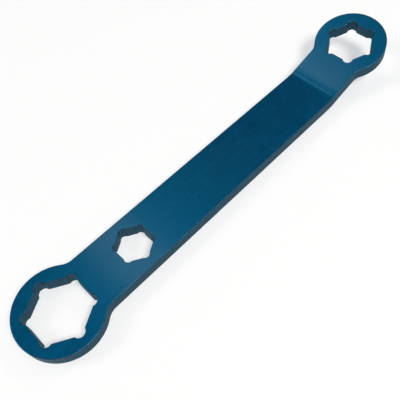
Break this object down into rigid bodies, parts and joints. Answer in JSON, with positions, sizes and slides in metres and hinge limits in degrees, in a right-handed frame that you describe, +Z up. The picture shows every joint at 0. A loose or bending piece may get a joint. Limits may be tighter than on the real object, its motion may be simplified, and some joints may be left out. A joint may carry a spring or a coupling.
{
  "type": "fire hydrant wrench",
  "caption": "Flat plate hydrant wrench with a hexagon opening in each round head and one in the handle, its far head raised by one bend.",
  "frame": {"origin": "centre of the large opening, on the face that the wrench lies on", "axes": "+X along the handle from the large head to the raised medium head, +Z up through the plate"},
  "size_m": [0.3318, 0.055, 0.0307],
  "materials": {
    "anodised_aluminium": "blue anodised, satin, with a fine lengthwise grain"
  },
  "bodies": {
    "root": {"wrench_body": "anodised_aluminium"}
  },
  "joints": []
}
